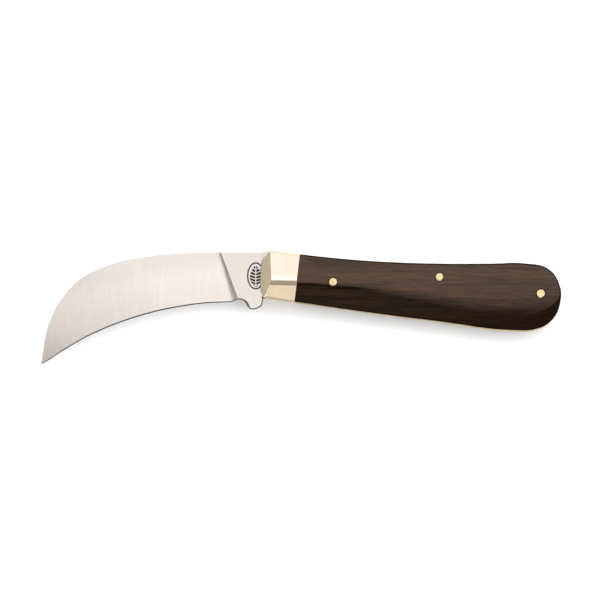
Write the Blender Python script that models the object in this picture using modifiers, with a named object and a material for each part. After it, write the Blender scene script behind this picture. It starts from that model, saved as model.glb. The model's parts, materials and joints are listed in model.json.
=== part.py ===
"""Folding hawkbill knife for grafting and light pruning, lying open on its side.

One hooked blade turns on a pin through brass bolsters and liners. A back spring
bears on the tang: it holds the blade open on one flat and shut on the other.

Frame: the pivot axis is the Z axis, +X runs from the pivot to the butt, +Y to the
blade's back, and Z = 0 is the plane that the knife lies on. The pieces are drawn
about the knife's middle plane, half a thickness higher.
"""

import math

import bmesh
import bpy
from mathutils import Matrix, Vector

MM = 0.001

# Thicknesses, in millimetres, stacked outward from the middle plane
HALF_THICKNESS = 7.0  # outer face of a bolster
SCALE_FACE = 6.85  # outer face of a wooden scale
BLADE_HALF = 1.3  # blade and spring stock is 2.6 thick
GAP = 0.3  # clearance between neighbouring pieces
LINER_THICKNESS = 0.9
LINER_INNER = BLADE_HALF + GAP
LINER_OUTER = LINER_INNER + LINER_THICKNESS
SIDE_INNER = LINER_OUTER + GAP  # inner face of a bolster or a scale

# Pins: radius, place, and how far a domed head stands above the wood
PIVOT_RADIUS = 1.25
RUNNING_CLEARANCE = 0.08  # pivot pin in the blade's hole
PIN_RADIUS = 1.5
DOME_HEIGHT = 0.12
RIVET_RADIUS = 0.8
CENTER_PIN = (56.5, 0.0)
END_PIN = (93.5, -6.0)
SCALE_PIN = (17.7, -1.75)
RIVETS = {"upper": (-2.0, 5.2), "lower": (2.2, -5.4)}

# Tang and spring: the blade's flats lie SEAT from the pivot and the spring a gap above
SEAT = 5.0
CAM_RADIUS = 5.25
CLOSING_ANGLE = math.radians(151.0)
SHOULDER_X = -3.1  # the tang's square shoulder, which stops the blade when open
FLEX_AXIS = (46.0, 1.3)  # where the spring starts to bend, just ahead of its centre pin

# Bolster: the slanted joint with the wood, and the planes filed on its face
JOINT_TOP = (5.66, 8.2)
JOINT_BOTTOM = (3.65, -9.5)
RIDGE_FRONT = (-4.9, -1.5)  # ends of the ridge across the bolster's face
RIDGE_BACK = (5.4, -1.9)
WOOD_RIDGE_FRONT = (5.66, -2.6)  # and of the one along the wood
WOOD_RIDGE_BACK = (84.0, -12.4)
LOWER_FACET_SLOPE = 0.36
# Three points on each of the bolster's other facets: front, lower edge and upper edge
BOLSTER_FACETS = [
    ((-5.3, 8.9, HALF_THICKNESS), (-4.9, -1.5, HALF_THICKNESS), (-8.8, -1.5, 3.7)),
    ((-6.5, -6.8, 5.09), (4.2, -8.3, 4.7), (3.65, -9.6, 3.3)),
    ((-5.3, 9.3, HALF_THICKNESS), (5.66, 7.8, HALF_THICKNESS), (5.66, 8.3, 6.4)),
]
LIP_BELOW_WOOD = 0.5  # how far the liner shows past the wood on the open side

CORNER = "VECTOR"
SMOOTH = "AUTO"
HANDLE_TOP = [
    (-5.3, 9.8, CORNER), (5.7, 8.3, SMOOTH), (20.3, 6.7, SMOOTH), (38.0, 5.45, SMOOTH),
    (56.8, 4.85, SMOOTH), (75.0, 4.85, SMOOTH), (88.1, 4.9, SMOOTH),
]
BUTT = [
    (96.2, 2.9, SMOOTH), (100.2, -2.8, SMOOTH), (100.6, -9.0, SMOOTH),
    (98.1, -15.2, SMOOTH), (92.5, -19.2, SMOOTH),
]
HANDLE_BOTTOM = [
    (84.0, -19.9, SMOOTH), (56.8, -16.75, SMOOTH), (27.6, -13.0, SMOOTH),
    (5.7, -9.8, SMOOTH), (-7.1, -8.0, CORNER),
]
BOLSTER_FRONT = [(-8.8, -1.8, SMOOTH), (-7.9, 5.4, SMOOTH)]

SPINE = [
    (-25.6, 9.0), (-34.5, 8.8), (-49.1, 7.6), (-62.2, 5.0), (-73.9, -0.2),
    (-81.7, -8.4), (-86.3, -18.2), (-88.85, -31.3),
]
EDGE = [
    (-18.9, -9.1), (-30.8, -9.8), (-45.4, -12.3), (-59.3, -16.4), (-71.0, -21.3),
    (-80.0, -26.4), (-86.0, -30.3), (-88.6, -31.95),
]
PLUNGE_TOP = (-24.05, 9.0)  # where the grind starts, at the back and at the choil
PLUNGE_BOTTOM = (-17.3, -8.1)

for leftover in list(bpy.data.objects):
    bpy.data.objects.remove(leftover, do_unlink=True)
parts = bpy.data.collections.new("grafting_knife")
tools = bpy.data.collections.new("cutters")
frame_empty = bpy.data.objects.new("knife_frame", None)
frame_empty.location.z = HALF_THICKNESS * MM


def material(name, color, roughness, metallic):
    made = bpy.data.materials.new(name)
    made.use_nodes = True
    shader = made.node_tree.nodes["Principled BSDF"]
    shader.inputs["Base Color"].default_value = (*color, 1.0)
    shader.inputs["Roughness"].default_value = roughness
    shader.inputs["Metallic"].default_value = metallic
    return made


def add_object(name, mesh, collection):
    obj = bpy.data.objects.new(name, mesh)
    collection.objects.link(obj)
    return obj


def plate(name, knots, low, high, steps=4):
    """A flat plate between two heights, cut to a closed outline of corner and smooth knots."""
    curve = bpy.data.curves.new(name, "CURVE")
    curve.dimensions = "2D"
    curve.fill_mode = "BOTH"
    curve.extrude = (high - low) / 2 * MM
    curve.resolution_u = steps
    spline = curve.splines.new("BEZIER")
    spline.bezier_points.add(len(knots) - 1)
    spline.use_cyclic_u = True
    for point, (x, y, kind) in zip(spline.bezier_points, knots):
        point.co = (x * MM, y * MM, 0.0)
        point.handle_left_type = kind
        point.handle_right_type = kind
    guide = add_object(name + "_outline", curve, tools)
    guide.location.z = (low + high) / 2 * MM
    bpy.context.view_layer.update()
    graph = bpy.context.evaluated_depsgraph_get()
    mesh = bpy.data.meshes.new_from_object(guide.evaluated_get(graph))
    weld(mesh)
    obj = add_object(name, mesh, parts)
    obj.matrix_world = guide.matrix_world.copy()
    bpy.data.objects.remove(guide, do_unlink=True)
    return obj


def weld(mesh):
    bm = bmesh.new()
    bm.from_mesh(mesh)
    bmesh.ops.remove_doubles(bm, verts=bm.verts, dist=0.002 * MM)
    bmesh.ops.recalc_face_normals(bm, faces=bm.faces)
    bm.to_mesh(mesh)
    bm.free()


def boolean(obj, other, operation):
    """A Boolean against another solid, which becomes a hidden helper."""
    step = obj.modifiers.new(operation.lower(), "BOOLEAN")
    step.operation = operation
    step.solver = "EXACT"
    step.object = other
    other.hide_render = True
    other.display_type = "WIRE"
    if other.name in parts.objects:
        parts.objects.unlink(other)
        tools.objects.link(other)


def apply_steps(obj):
    """Freezes the modifiers, so that the shape can be planed and mirrored afterwards."""
    bpy.context.view_layer.update()
    graph = bpy.context.evaluated_depsgraph_get()
    mesh = bpy.data.meshes.new_from_object(obj.evaluated_get(graph))
    obj.modifiers.clear()
    obj.data = mesh


def drill(obj, place, radius):
    """Drills a round hole, parallel to the pivot, right through a piece."""
    bm = bmesh.new()
    bmesh.ops.create_cone(
        bm, cap_ends=True, segments=24, radius1=radius * MM, radius2=radius * MM,
        depth=4 * HALF_THICKNESS * MM,
    )
    mesh = bpy.data.meshes.new(obj.name + "_drill")
    bm.to_mesh(mesh)
    bm.free()
    cutter = add_object(obj.name + "_drill", mesh, tools)
    cutter.location = (place[0] * MM, place[1] * MM, 0.0)
    boolean(obj, cutter, "DIFFERENCE")


def plane_off(obj, first, second, low):
    """Planes away what stands above the plane through three points."""
    first = Vector(first) * MM
    normal = (Vector(second) * MM - first).cross(Vector(low) * MM - first).normalized()
    if normal.z < 0:
        normal.negate()
    cut_off(obj, first, normal)


def cut_off(obj, point, normal):
    bpy.context.view_layer.update()
    to_local = obj.matrix_world.inverted()
    bm = bmesh.new()
    bm.from_mesh(obj.data)
    bmesh.ops.bisect_plane(
        bm, geom=bm.verts[:] + bm.edges[:] + bm.faces[:], dist=0.001 * MM,
        plane_co=to_local @ point, plane_no=normal, clear_outer=True,
    )
    rim = [edge for edge in bm.edges if edge.is_boundary]
    bmesh.ops.holes_fill(bm, edges=rim, sides=0)
    bmesh.ops.recalc_face_normals(bm, faces=bm.faces)
    bm.to_mesh(obj.data)
    bm.free()


def mirrored(obj, name):
    """The same piece for the other side of the knife."""
    mesh = obj.data.copy()
    mesh.transform(Matrix.Diagonal((1, 1, -1, 1)) @ obj.matrix_world)
    mesh.flip_normals()
    return add_object(name, mesh, parts)


def handle_outline(lip=0.0):
    """The handle's outline at the liners, with its open side drawn in by a lip."""
    bottom = [(x, y + lip, kind) for x, y, kind in HANDLE_BOTTOM]
    end = [(x, y + lip * (y < -15), kind) for x, y, kind in BUTT]
    return HANDLE_TOP + end + bottom + BOLSTER_FRONT


def side_of_joint(obj, keep_front, gap):
    """Cuts a handle-shaped piece off at the slanted joint between bolster and wood."""
    top = Vector((*JOINT_TOP, 0.0)) * MM
    along = Vector((*JOINT_BOTTOM, 0.0)) * MM - top
    normal = along.cross(Vector((0, 0, -1))).normalized()
    if (normal.x < 0) == keep_front:
        normal.negate()
    cut_off(obj, top - normal * gap * MM, normal)


def lower_facet(obj, height, ridge_front, ridge_back):
    """Planes the sloping lower facet that falls from a ridge towards the open side."""
    below = (ridge_front[0], ridge_front[1] - 5.0, height - 5.0 * LOWER_FACET_SLOPE)
    plane_off(obj, (*ridge_front, height), (*ridge_back, height), below)


def round_rim(obj, width, low, joint_x):
    """Rounds a scale's outer rim, but not the end that butts against the bolster."""
    bm = bmesh.new()
    bm.from_mesh(obj.data)
    height = obj.matrix_world.translation.z
    rim = []
    for edge in bm.edges:
        center = sum((v.co for v in edge.verts), Vector()) / 2
        high = center.z + height > low * MM
        if high and center.x > joint_x * MM and edge.calc_face_angle(0) > math.radians(40):
            rim.append(edge)
    bmesh.ops.bevel(
        bm, geom=rim, offset=width * MM, segments=3, profile=0.5, affect="EDGES",
        clamp_overlap=True,
    )
    bm.to_mesh(obj.data)
    bm.free()


def turned(name, profile, place):
    """A round piece from a profile that runs down its outer side."""
    mesh = bpy.data.meshes.new(name)
    points = [(r * MM, 0.0, z * MM) for r, z in profile]
    mesh.from_pydata(points, [(i, i + 1) for i in range(len(points) - 1)], [])
    obj = add_object(name, mesh, parts)
    obj.location = (place[0] * MM, place[1] * MM, 0.0)
    turn = obj.modifiers.new("turn", "SCREW")
    turn.steps = 24
    turn.render_steps = 24
    turn.use_merge_vertices = True
    turn.merge_threshold = 0.01 * MM
    return obj


def dome(radius, rim, sign):
    """Points of a low domed head, from its centre out to its rim."""
    steps = 3
    arc = [(radius * i / steps, DOME_HEIGHT * (1 - (i / steps) ** 2)) for i in range(steps + 1)]
    return [(r, sign * (rim + rise)) for r, rise in arc]


def through_knots(knots, count):
    """Evenly spread points on a smooth curve through the knots (Catmull-Rom)."""
    ends = [2 * Vector(knots[0]) - Vector(knots[1])], [2 * Vector(knots[-1]) - Vector(knots[-2])]
    path = ends[0] + [Vector(knot) for knot in knots] + ends[1]
    spans = len(knots) - 1
    points = []
    for step in range(count):
        place = step / (count - 1) * spans
        span = min(int(place), spans - 1)
        t = place - span
        a, b, c, d = path[span:span + 4]
        rise = (c - a) * t + (2 * a - 5 * b + 4 * c - d) * t * t + (3 * b - a - 3 * c + d) * t ** 3
        points.append(b + rise / 2)
    return points


def closed_seat(x):
    """A point on the tang that lies under the spring at x once the blade is shut."""
    turned_back = Matrix.Rotation(-CLOSING_ANGLE, 2)
    point = turned_back @ Vector((x, SEAT))
    return (point.x, point.y, CORNER)


def tang_outline():
    """Ricasso, shoulder, flats and cam, and the kick that lands on the spring when shut."""
    half_flat = math.sqrt(CAM_RADIUS ** 2 - SEAT ** 2)
    first = math.atan2(SEAT, half_flat)
    last = math.pi - first - CLOSING_ANGLE
    cam_steps = 14
    angles = [first + (last - first) * i / cam_steps for i in range(cam_steps + 1)]
    cam = [(CAM_RADIUS * math.cos(a), CAM_RADIUS * math.sin(a), CORNER) for a in angles]
    back = [
        (*PLUNGE_TOP, CORNER), (-8.2, 9.0, CORNER), (SHOULDER_X, 9.35, CORNER),
        (SHOULDER_X, SEAT, CORNER),
    ]
    kick = [
        (-7.8, -8.0, CORNER), (-8.8, -10.7, CORNER), (-11.1, -11.6, SMOOTH),
        (-13.0, -11.9, CORNER), (-14.8, -8.8, CORNER), (-15.8, -8.2, SMOOTH),
        (*PLUNGE_BOTTOM, CORNER),
    ]
    return back + cam + [closed_seat(8.0)] + kick


def ground_blade(name):
    """The ground part of the blade, lofted from the plunge line to the tip."""
    stations = 22
    spine = through_knots(SPINE, stations)
    edge = through_knots(EDGE, stations)
    shoulder = BLADE_HALF - 0.02
    inside = Vector((1.0, -0.03))
    sections = [
        (Vector(PLUNGE_TOP) + inside, Vector(PLUNGE_BOTTOM) + inside, shoulder, shoulder, shoulder),
        (Vector(PLUNGE_TOP), Vector(PLUNGE_BOTTOM), shoulder, shoulder, shoulder),
    ]
    for i, (back, front) in enumerate(zip(spine, edge)):
        taper = 1.0 - 0.35 * i / (stations - 1)
        sections.append((back, front, shoulder * taper, 0.2 * taper, 0.05))
    bm = bmesh.new()
    rings = []
    for back, front, back_half, bevel_half, edge_half in sections:
        bevel = front.lerp(back, min(0.8 / (back - front).length, 0.5))
        corners = [(back, back_half), (bevel, bevel_half), (front, edge_half)]
        corners += [(point, -half) for point, half in reversed(corners)]
        rings.append([bm.verts.new((p.x * MM, p.y * MM, h * MM)) for p, h in corners])
    for ring, following in zip(rings, rings[1:]):
        for i in range(len(ring)):
            j = (i + 1) % len(ring)
            bm.faces.new((ring[i], ring[j], following[j], following[i]))
    bm.faces.new(rings[0])
    bm.faces.new(rings[-1])
    bmesh.ops.triangulate(bm, faces=bm.faces)
    bmesh.ops.recalc_face_normals(bm, faces=bm.faces)
    mesh = bpy.data.meshes.new(name)
    bm.to_mesh(mesh)
    bm.free()
    return add_object(name, mesh, tools)


def make_blade():
    blade = plate("blade", tang_outline(), -BLADE_HALF, BLADE_HALF, steps=3)
    boolean(blade, ground_blade("blade_grind"), "UNION")
    drill(blade, (0.0, 0.0), PIVOT_RADIUS + RUNNING_CLEARANCE)
    apply_steps(blade)
    return blade


def make_spring():
    """The back spring, as its bending arm and its fixed tail, both flush with the handle's back."""
    under = SEAT + GAP
    outside = 12.0
    split = FLEX_AXIS[0]
    arm = plate("back_spring_arm", [
        (SHOULDER_X + GAP, under, CORNER), (SHOULDER_X + GAP, outside, CORNER),
        (split - GAP / 2, outside, CORNER), (split - GAP / 2, -2.6, CORNER),
        (40.0, -0.7, SMOOTH), (30.0, 2.6, SMOOTH), (20.0, 4.6, SMOOTH),
        (13.5, 5.45, SMOOTH), (10.0, 5.4, CORNER), (8.0, under, CORNER),
    ], -BLADE_HALF, BLADE_HALF)
    tail = plate("back_spring_tail", [
        (split + GAP / 2, outside, CORNER), (105.0, outside, CORNER), (105.0, -13.0, CORNER),
        (98.0, -12.2, CORNER), (93.5, -10.4, SMOOTH), (88.4, -6.8, SMOOTH),
        (80.0, -1.6, SMOOTH), (70.0, -1.2, SMOOTH), (60.0, -3.4, SMOOTH),
        (52.0, -3.6, SMOOTH), (split + GAP / 2, -2.65, CORNER),
    ], -BLADE_HALF, BLADE_HALF)
    for piece in (arm, tail):
        blank = plate(piece.name + "_blank", handle_outline(), -4.0, 4.0)
        boolean(piece, blank, "INTERSECT")
    for place in (CENTER_PIN, END_PIN):
        drill(tail, place, PIN_RADIUS + GAP)
    apply_steps(arm)
    apply_steps(tail)
    origin_to(arm, FLEX_AXIS)
    return arm, tail


def origin_to(obj, place):
    """Moves an object's origin to its joint axis without moving its shape."""
    shift = Vector((place[0] * MM, place[1] * MM, 0.0))
    obj.data.transform(Matrix.Translation(-shift) @ obj.matrix_world)
    obj.matrix_world = Matrix.Translation(shift)


def make_liner():
    liner = plate("liner_mark_side", handle_outline(), LINER_INNER, LINER_OUTER)
    drill(liner, (0.0, 0.0), PIVOT_RADIUS + GAP)
    for place in (CENTER_PIN, END_PIN, SCALE_PIN):
        drill(liner, place, PIN_RADIUS + GAP)
    for place in RIVETS.values():
        drill(liner, place, RIVET_RADIUS + GAP)
    apply_steps(liner)
    return liner


def make_bolster():
    bolster = plate("bolster_mark_side", handle_outline(), SIDE_INNER, HALF_THICKNESS)
    side_of_joint(bolster, True, 0.0)
    lower_facet(bolster, HALF_THICKNESS, RIDGE_FRONT, RIDGE_BACK)
    for first, second, low in BOLSTER_FACETS:
        plane_off(bolster, first, second, low)
    drill(bolster, (0.0, 0.0), PIVOT_RADIUS + GAP)
    for place in RIVETS.values():
        drill(bolster, place, RIVET_RADIUS + GAP)
    apply_steps(bolster)
    return bolster


def make_scale():
    scale = plate("scale_mark_side", handle_outline(LIP_BELOW_WOOD), SIDE_INNER, SCALE_FACE, steps=3)
    side_of_joint(scale, False, GAP)
    lower_facet(scale, SCALE_FACE, WOOD_RIDGE_FRONT, WOOD_RIDGE_BACK)
    round_rim(scale, 1.0, 4.0, 6.2)
    for place in (CENTER_PIN, END_PIN, SCALE_PIN):
        drill(scale, place, PIN_RADIUS + GAP)
    apply_steps(scale)
    return scale


def make_pins():
    through = dome(PIN_RADIUS, SCALE_FACE, 1) + dome(PIN_RADIUS, SCALE_FACE, -1)[::-1]
    short = dome(PIN_RADIUS, SCALE_FACE, 1) + [(PIN_RADIUS, LINER_INNER), (0.0, LINER_INNER)]
    flush = [
        (0.0, HALF_THICKNESS), (PIVOT_RADIUS, HALF_THICKNESS),
        (PIVOT_RADIUS, -HALF_THICKNESS), (0.0, -HALF_THICKNESS),
    ]
    pins = [
        turned("pivot_pin", flush, (0.0, 0.0)),
        turned("spring_center_pin", through, CENTER_PIN),
        turned("spring_end_pin", through, END_PIN),
    ]
    scale_pin = turned("scale_pin_mark_side", short, SCALE_PIN)
    apply_steps(scale_pin)
    return pins + [scale_pin]


def make_rivets():
    """Rivets that hold the bolster to its liner, ground flush with both."""
    rivets = []
    for level, place in RIVETS.items():
        shank = [
            (0.0, HALF_THICKNESS), (RIVET_RADIUS, HALF_THICKNESS),
            (RIVET_RADIUS, LINER_INNER), (0.0, LINER_INNER),
        ]
        rivet = turned(f"bolster_rivet_{level}_mark_side", shank, place)
        apply_steps(rivet)
        lower_facet(rivet, HALF_THICKNESS, RIDGE_FRONT, RIDGE_BACK)
        rivets.append(rivet)
    return rivets


def finish_piece(obj, made_of):
    obj.data.materials.clear()
    obj.data.materials.append(made_of)
    obj.data.shade_smooth()
    obj.data.set_sharp_from_angle(angle=math.radians(25))
    place = obj.matrix_world.copy()
    obj.parent = frame_empty
    obj.matrix_parent_inverse = Matrix.Identity(4)
    obj.matrix_basis = place


def main():
    bpy.context.scene.collection.children.link(parts)
    bpy.context.scene.collection.children.link(tools)
    tools.hide_render = True
    parts.objects.link(frame_empty)
    steel = material("blade_steel", (0.74, 0.71, 0.69), 0.3, 1.0)
    spring_steel = material("spring_steel", (0.55, 0.53, 0.51), 0.35, 1.0)
    liner_brass = material("liner_brass", (0.72, 0.6, 0.4), 0.35, 1.0)
    bolster_brass = material("bolster_brass", (0.93, 0.83, 0.66), 0.15, 1.0)
    pin_brass = material("pin_brass", (0.9, 0.8, 0.56), 0.25, 1.0)
    wood = material("dark_wood", (0.055, 0.035, 0.025), 0.45, 0.0)

    pieces = [(make_blade(), steel)]
    pieces += [(piece, spring_steel) for piece in make_spring()]
    both_sides = [(make_liner(), liner_brass), (make_bolster(), bolster_brass)]
    both_sides += [(make_scale(), wood)]
    both_sides += [(rivet, bolster_brass) for rivet in make_rivets()]
    *through_pins, scale_pin = make_pins()
    pieces += [(pin, pin_brass) for pin in through_pins]
    both_sides += [(scale_pin, pin_brass)]
    bpy.context.view_layer.update()
    for piece, made_of in both_sides:
        other_side = mirrored(piece, piece.name.replace("mark_side", "pile_side"))
        pieces += [(piece, made_of), (other_side, made_of)]
    bpy.context.view_layer.update()
    for piece, made_of in pieces:
        finish_piece(piece, made_of)


main()
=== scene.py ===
"""Looks of a folding hawkbill grafting knife, lying open on a pale studio table."""

import json
import math

import bmesh
import bpy
import numpy as np
from mathutils import Matrix, Vector


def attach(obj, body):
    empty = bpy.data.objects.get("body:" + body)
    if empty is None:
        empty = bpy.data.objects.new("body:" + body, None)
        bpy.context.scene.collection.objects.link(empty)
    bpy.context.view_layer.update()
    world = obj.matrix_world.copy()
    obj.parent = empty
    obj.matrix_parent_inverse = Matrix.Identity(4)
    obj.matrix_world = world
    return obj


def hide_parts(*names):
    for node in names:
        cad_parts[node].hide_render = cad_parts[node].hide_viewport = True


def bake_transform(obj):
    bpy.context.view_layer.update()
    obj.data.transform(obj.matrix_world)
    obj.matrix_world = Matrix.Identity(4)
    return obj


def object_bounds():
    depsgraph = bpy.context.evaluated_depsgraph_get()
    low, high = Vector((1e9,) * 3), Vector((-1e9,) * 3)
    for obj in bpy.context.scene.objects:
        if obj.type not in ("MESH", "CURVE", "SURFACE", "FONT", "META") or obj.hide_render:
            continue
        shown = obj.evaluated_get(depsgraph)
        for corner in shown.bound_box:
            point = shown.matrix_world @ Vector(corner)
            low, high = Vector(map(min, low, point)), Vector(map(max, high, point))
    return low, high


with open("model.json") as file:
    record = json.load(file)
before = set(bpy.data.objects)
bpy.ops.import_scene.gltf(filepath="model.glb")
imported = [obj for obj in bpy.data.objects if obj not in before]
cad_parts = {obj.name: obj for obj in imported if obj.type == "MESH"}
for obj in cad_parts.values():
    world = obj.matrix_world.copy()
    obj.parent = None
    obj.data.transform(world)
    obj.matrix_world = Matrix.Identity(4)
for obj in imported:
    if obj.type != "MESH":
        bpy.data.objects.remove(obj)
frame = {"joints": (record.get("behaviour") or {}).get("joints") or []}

CAD_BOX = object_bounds()
MM = 0.001
MIDDLE = (CAD_BOX[0].z + CAD_BOX[1].z) / 2  # the knife's middle plane
JOINTS = {joint["name"]: joint for joint in frame["joints"]}

# Heights above and below the middle plane, in millimetres
FACE = 7.0  # bolster
WOOD_FACE = 6.85
BLADE_HALF = 1.3
LINER_INNER = 1.38
LINER_OUTER = 2.5

# The outline at the liners, as in the frame: corner and smooth knots, in millimetres
CORNER = "VECTOR"
SMOOTH = "AUTO"
HANDLE_TOP = [
    (-5.3, 9.8, CORNER), (5.7, 8.3, SMOOTH), (20.3, 6.7, SMOOTH), (38.0, 5.45, SMOOTH),
    (56.8, 4.85, SMOOTH), (75.0, 4.85, SMOOTH), (88.1, 4.9, SMOOTH),
]
BUTT = [
    (96.2, 2.9, SMOOTH), (100.2, -2.8, SMOOTH), (100.6, -9.0, SMOOTH),
    (98.1, -15.2, SMOOTH), (92.5, -19.2, SMOOTH),
]
HANDLE_BOTTOM = [
    (84.0, -19.9, SMOOTH), (56.8, -16.75, SMOOTH), (27.6, -13.0, SMOOTH),
    (5.7, -9.8, SMOOTH), (-7.5, -8.0, CORNER),
]
BOLSTER_FRONT = [(-8.65, -4.6, SMOOTH), (-8.8, 1.0, SMOOTH), (-8.05, 6.0, SMOOTH)]
JOINT_TOP = Vector((5.66, 8.2))  # the ends of the joint between bolster and wood
JOINT_BOTTOM = Vector((3.65, -9.5))
LIP = 0.5  # how far the liner shows past the wood on the open side

CENTER_PIN = (56.5, 0.0)
END_PIN = (93.5, -6.0)
SCALE_PIN = (17.7, -1.75)
HEADS = {CENTER_PIN: 1.42, END_PIN: 1.5, SCALE_PIN: 1.43}  # radius of each pin's head
HEAD_GAP = 0.12  # between a head and the wood around it
PIVOT_RADIUS = 1.25
PIVOT_END = 6.5  # the pivot pin's end, below the bolster's face
BLADE_HOLE = 1.33  # radius of the tang's hole for the pivot pin
LINER_HOLE = 1.27

SPINE = [
    (-24.8, 9.0), (-34.5, 8.8), (-49.1, 7.6), (-62.2, 5.0), (-73.9, -0.2),
    (-81.7, -8.4), (-86.35, -18.2), (-88.84, -31.0),
]
EDGE = [
    (-19.4, -9.15), (-30.8, -9.8), (-45.4, -12.3), (-59.3, -16.4), (-71.0, -21.3),
    (-80.0, -26.4), (-86.0, -30.35), (-88.75, -31.93),
]
PLUNGE_TOP = Vector((-23.2, 9.0))
PLUNGE_BOTTOM = Vector((-16.8, -8.1))


# Outlines ---------------------------------------------------------------------------


def sampled(knots, steps, closed=True):
    """Points along a Bezier outline through corner and smooth knots."""
    curve = bpy.data.curves.new("outline", "CURVE")
    curve.dimensions = "3D"
    curve.resolution_u = steps
    spline = curve.splines.new("BEZIER")
    spline.bezier_points.add(len(knots) - 1)
    spline.use_cyclic_u = closed
    for point, (x, y, kind) in zip(spline.bezier_points, knots):
        point.co = (x, y, 0.0)
        point.handle_left_type = kind
        point.handle_right_type = kind
    guide = bpy.data.objects.new("outline", curve)
    bpy.context.scene.collection.objects.link(guide)
    bpy.context.view_layer.update()
    graph = bpy.context.evaluated_depsgraph_get()
    mesh = guide.evaluated_get(graph).to_mesh()
    points = np.array([vertex.co[:2] for vertex in mesh.vertices])
    bpy.data.objects.remove(guide)
    bpy.data.curves.remove(curve)
    return points


def through_knots(knots, count):
    """Evenly spread points on a smooth curve through the knots (Catmull-Rom)."""
    knots = np.array(knots, float)
    path = np.vstack([2 * knots[0] - knots[1], knots, 2 * knots[-1] - knots[-2]])
    places = np.linspace(0, len(knots) - 1, count)
    spans = np.minimum(places.astype(int), len(knots) - 2)
    t = (places - spans)[:, None]
    a, b, c, d = (path[spans + i] for i in range(4))
    rise = (c - a) * t + (2 * a - 5 * b + 4 * c - d) * t ** 2 + (3 * b - a - 3 * c + d) * t ** 3
    return b + rise / 2


def drawn_in(loop, widths):
    """A closed loop moved inward, point by point, by the given widths."""
    ahead = np.roll(loop, -1, axis=0) - loop
    behind = loop - np.roll(loop, 1, axis=0)
    ahead /= np.linalg.norm(ahead, axis=1)[:, None]
    behind /= np.linalg.norm(behind, axis=1)[:, None]
    x, y = loop[:, 0], loop[:, 1]
    clockwise = np.sum(x * np.roll(y, -1) - np.roll(x, -1) * y) < 0
    turn = np.array([[0, 1], [-1, 0]]) if clockwise else np.array([[0, -1], [1, 0]])
    left = ahead @ turn.T
    right = behind @ turn.T
    miter = left + right
    miter /= np.maximum((miter * left).sum(1), 0.5)[:, None]
    return loop + miter * np.broadcast_to(widths, len(loop))[:, None]


STEPS = 24  # points to each stretch of outline
OUTLINE = sampled(HANDLE_TOP + BUTT + HANDLE_BOTTOM + BOLSTER_FRONT, STEPS)
APEX = int(OUTLINE[:, 0].argmax())
BOTTOM_CORNER = (len(HANDLE_TOP) + len(BUTT) + len(HANDLE_BOTTOM) - 1) * STEPS
TOP_SIDE = OUTLINE[:APEX + 1]
BOTTOM_SIDE = OUTLINE[APEX:BOTTOM_CORNER + 1][::-1]
FRONT_SIDE = np.vstack([OUTLINE[BOTTOM_CORNER:], OUTLINE[:1]])


def top_y(x):
    return np.interp(x, TOP_SIDE[:, 0], TOP_SIDE[:, 1])


def bottom_y(x):
    return np.interp(x, BOTTOM_SIDE[:, 0], BOTTOM_SIDE[:, 1])


# Meshes -----------------------------------------------------------------------------


def new_piece(name, bm, sharp=30):
    bmesh.ops.recalc_face_normals(bm, faces=bm.faces)
    bmesh.ops.scale(bm, vec=(MM, MM, MM), verts=bm.verts)
    bmesh.ops.translate(bm, vec=(0, 0, MIDDLE), verts=bm.verts)
    mesh = bpy.data.meshes.new(name)
    bm.to_mesh(mesh)
    bm.free()
    mesh.shade_smooth()
    mesh.set_sharp_from_angle(angle=math.radians(sharp))
    piece = bpy.data.objects.new(name, mesh)
    bpy.context.scene.collection.objects.link(piece)
    return piece


def other_side(piece, name):
    """The same piece, mirrored through the knife's middle plane."""
    mesh = piece.data.copy()
    through_middle = Matrix.Translation((0, 0, 2 * MIDDLE)) @ Matrix.Diagonal((1, 1, -1, 1))
    mesh.transform(through_middle)
    mesh.flip_normals()
    twin = bpy.data.objects.new(name, mesh)
    bpy.context.scene.collection.objects.link(twin)
    return twin


def strip(bm, first, second, closed=True):
    """Quads between two rows of vertices."""
    count = len(first)
    for i in range(count if closed else count - 1):
        j = (i + 1) % count
        bm.faces.new((first[i], first[j], second[j], second[i]))


def ring(bm, points, height):
    return [bm.verts.new((x, y, height)) for x, y in points]


def fill(bm, *loops):
    """Triangles across one loop of vertices, leaving out the loops inside it."""
    edges = []
    for loop in loops:
        for i, vert in enumerate(loop):
            pair = (vert, loop[(i + 1) % len(loop)])
            edges.append(bm.edges.get(pair) or bm.edges.new(pair))
    bmesh.ops.triangle_fill(bm, use_beauty=True, use_dissolve=False, edges=edges)


def slab(bm, outline, low, high, chamfer, holes=()):
    """A closed plate with chamfered edges, and plain holes through it."""
    inner = drawn_in(outline, chamfer)
    rows = [
        ring(bm, inner, low), ring(bm, outline, low + chamfer),
        ring(bm, outline, high - chamfer), ring(bm, inner, high),
    ]
    for first, second in zip(rows, rows[1:]):
        strip(bm, first, second)
    low_holes = [ring(bm, hole, low) for hole in holes]
    high_holes = [ring(bm, hole, high) for hole in holes]
    for first, second in zip(low_holes, high_holes):
        strip(bm, first, second)
    fill(bm, rows[0], *low_holes)
    fill(bm, rows[3], *high_holes)


def circle(center, radius, count=48):
    angles = np.linspace(0, 2 * math.pi, count, endpoint=False)
    return np.stack([center[0] + radius * np.cos(angles), center[1] + radius * np.sin(angles)], 1)


def cushion(bm, x, y, z, low):
    """A closed solid from a grid of surface points, with walls down to a flat base."""
    rows, columns = x.shape
    grid = [
        [bm.verts.new((x[i, j], y[i, j], z[i, j])) for j in range(columns)] for i in range(rows)
    ]
    for i in range(rows - 1):
        strip(bm, grid[i], grid[i + 1], closed=False)
    rim = grid[0][:-1] + [row[-1] for row in grid[:-1]]
    rim += grid[-1][:0:-1] + [row[0] for row in grid[:0:-1]]
    base = [bm.verts.new((vert.co.x, vert.co.y, low)) for vert in rim]
    strip(bm, rim, base)
    fill(bm, base)


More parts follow.
